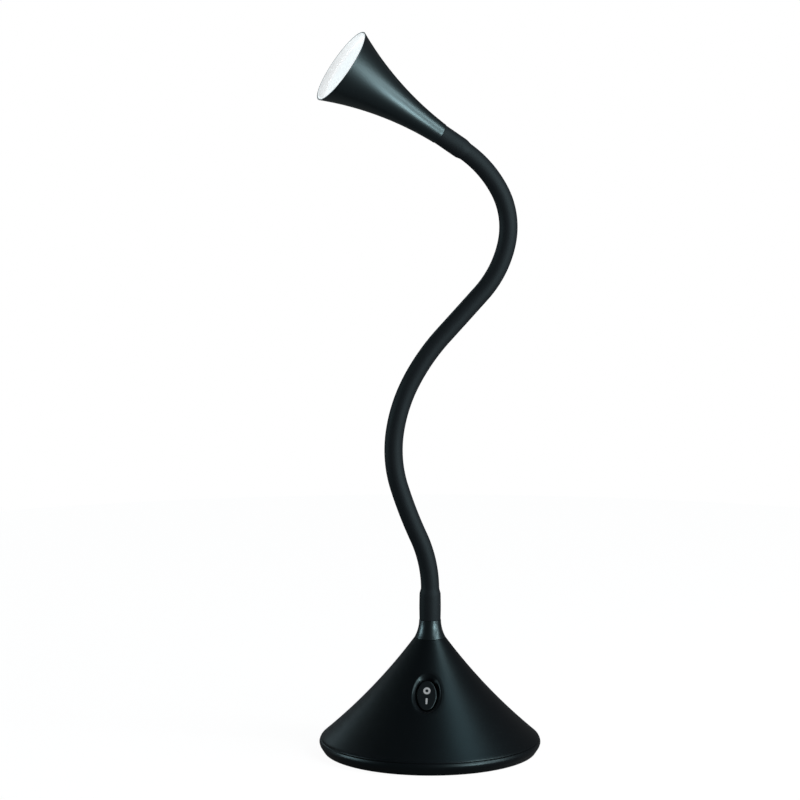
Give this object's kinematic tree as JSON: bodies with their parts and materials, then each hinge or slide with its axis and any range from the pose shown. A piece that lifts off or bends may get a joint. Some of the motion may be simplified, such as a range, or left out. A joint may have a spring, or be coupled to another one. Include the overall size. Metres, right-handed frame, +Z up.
{
  "type": "gooseneck desk lamp",
  "caption": "Small desk lamp with a weighted cone base, a bendable gooseneck, a trumpet-shaped head with a recessed diffuser, and an oval rocker switch on the base.",
  "frame": {"origin": "centre of the foot pad's lower face, on the surface that the lamp stands on", "axes": "+Z is up, the switch faces -Y and the power socket faces +Y; the neck's plane is turned 16 degrees about +Z, with the head's mouth towards -X"},
  "size_m": [0.1322, 0.1322, 0.432],
  "materials": {
    "black_cover": "satin",
    "black_pan": "satin",
    "black_collar": "gloss",
    "black_head": "satin",
    "foot_rubber": "matte",
    "neck_rubber": "matte",
    "spring_steel": "satin",
    "plated_steel": "satin",
    "brass": "satin",
    "black_switch": "satin",
    "white_print": "matte",
    "green_board": "satin",
    "dark_component": "satin",
    "white_plug": "matte",
    "red_wire": "satin",
    "black_wire": "satin",
    "white_lead": "satin",
    "white_reflector": "satin",
    "opal_diffuser": "satin",
    "white_board": "satin",
    "yellow_chip": "satin",
    "sink_aluminium": "satin"
  },
  "bodies": {
    "base": {"base_cone": "black_cover", "base_pan": "black_pan", "base_weight": "plated_steel", "foot_pad": "foot_rubber", "base_screws": "plated_steel", "neck_collar": "black_collar", "neck_lower_fitting": "brass", "neck_lock_nut": "plated_steel", "switch_housing": "black_switch", "switch_terminals": "brass", "dc_jack": "black_switch", "dc_jack_nut": "plated_steel", "dc_jack_pins": "brass", "driver_board": "green_board", "board_capacitor": "dark_component", "board_inductor": "dark_component", "board_connectors": "white_plug", "board_standoffs": "brass", "board_screws": "plated_steel", "jack_wires": "red_wire", "switch_wires": "black_wire", "neck_lead": "white_lead", "neck_sleeve_00": "neck_rubber", "neck_core_00": "spring_steel"},
    "neck_01": {"neck_sleeve_01": "neck_rubber", "neck_core_01": "spring_steel"},
    "neck_02": {"neck_sleeve_02": "neck_rubber", "neck_core_02": "spring_steel"},
    "neck_03": {"neck_sleeve_03": "neck_rubber", "neck_core_03": "spring_steel"},
    "neck_04": {"neck_sleeve_04": "neck_rubber", "neck_core_04": "spring_steel"},
    "neck_05": {"neck_sleeve_05": "neck_rubber", "neck_core_05": "spring_steel"},
    "neck_06": {"neck_sleeve_06": "neck_rubber", "neck_core_06": "spring_steel"},
    "neck_07": {"neck_sleeve_07": "neck_rubber", "neck_core_07": "spring_steel"},
    "neck_08": {"neck_sleeve_08": "neck_rubber", "neck_core_08": "spring_steel"},
    "neck_09": {"neck_sleeve_09": "neck_rubber", "neck_core_09": "spring_steel"},
    "head": {"neck_sleeve_10": "neck_rubber", "neck_core_10": "spring_steel", "head_shell": "black_head", "head_reflector": "white_reflector", "head_diffuser": "opal_diffuser", "led_board": "white_board", "led_chips": "yellow_chip", "heat_sink": "sink_aluminium", "led_screws": "plated_steel", "neck_upper_fitting": "brass", "head_nut": "plated_steel", "led_wires": "red_wire"},
    "rocker": {"switch_rocker": "black_switch", "rocker_marks": "white_print", "switch_plunger": "spring_steel", "switch_spring": "spring_steel"},
    "contact": {"switch_contact": "brass"}
  },
  "joints": [
    {"name": "neck_bend_01", "type": "hinge", "parent": "base", "child": "neck_01", "pos_m": [0, 0, 0.0985], "axis": [0.2756, -0.9613, 0], "range_deg": [-30, 30], "deforming": ["neck_sleeve_00", "neck_sleeve_01", "neck_lead"]},
    {"name": "neck_sway_02", "type": "hinge", "parent": "neck_01", "child": "neck_02", "pos_m": [-0.00668, -0.00192, 0.1305], "axis": [0.8747, 0.2508, 0.4147], "range_deg": [-30, 30], "deforming": ["neck_sleeve_02"]},
    {"name": "neck_bend_03", "type": "hinge", "parent": "neck_02", "child": "neck_03", "pos_m": [-0.01804, -0.00517, 0.16129], "axis": [0.2756, -0.9613, 0], "range_deg": [-30, 30], "deforming": ["neck_sleeve_03"]},
    {"name": "neck_sway_04", "type": "hinge", "parent": "neck_03", "child": "neck_04", "pos_m": [-0.02065, -0.00592, 0.19391], "axis": [-0.9519, -0.273, 0.1392], "range_deg": [-30, 30], "deforming": ["neck_sleeve_04"]},
    {"name": "neck_bend_05", "type": "hinge", "parent": "neck_04", "child": "neck_05", "pos_m": [-0.01076, -0.00309, 0.22508], "axis": [0.2756, -0.9613, 0], "range_deg": [-30, 30], "deforming": ["neck_sleeve_05"]},
    {"name": "neck_sway_06", "type": "hinge", "parent": "neck_05", "child": "neck_06", "pos_m": [0.00783, 0.00225, 0.2517], "axis": [0.6973, 0.1999, -0.6884], "range_deg": [-30, 30], "deforming": ["neck_sleeve_06"]},
    {"name": "neck_bend_07", "type": "hinge", "parent": "neck_06", "child": "neck_07", "pos_m": [0.02956, 0.00848, 0.27574], "axis": [0.2756, -0.9613, 0], "range_deg": [-30, 30], "deforming": ["neck_sleeve_07"]},
    {"name": "neck_sway_08", "type": "hinge", "parent": "neck_07", "child": "neck_08", "pos_m": [0.04416, 0.01266, 0.3046], "axis": [-0.9385, -0.2691, 0.2164], "range_deg": [-30, 30], "deforming": ["neck_sleeve_08"]},
    {"name": "neck_bend_09", "type": "hinge", "parent": "neck_08", "child": "neck_09", "pos_m": [0.03997, 0.01146, 0.33662], "axis": [0.2756, -0.9613, 0], "range_deg": [-30, 30], "deforming": ["neck_sleeve_09"]},
    {"name": "neck_sway_10", "type": "hinge", "parent": "neck_09", "child": "head", "pos_m": [0.01914, 0.00549, 0.36111], "axis": [0.5514, 0.1581, 0.8192], "range_deg": [-30, 30], "deforming": ["neck_sleeve_10"]},
    {"name": "switch_press", "type": "hinge", "parent": "base", "child": "rocker", "pos_m": [0, -0.02732, 0.03881], "axis": [-1, 0, 0], "range_deg": [0, 18]},
    {"name": "contact_tilt", "type": "hinge", "parent": "base", "child": "contact", "pos_m": [0, -0.02377, 0.03565], "axis": [-1, 0, 0], "range_deg": [-8.1, 0.1]}
  ],
  "couplings": [
    {"joint": "contact_tilt", "follows": "switch_press", "ratio": -0.4444}
  ]
}
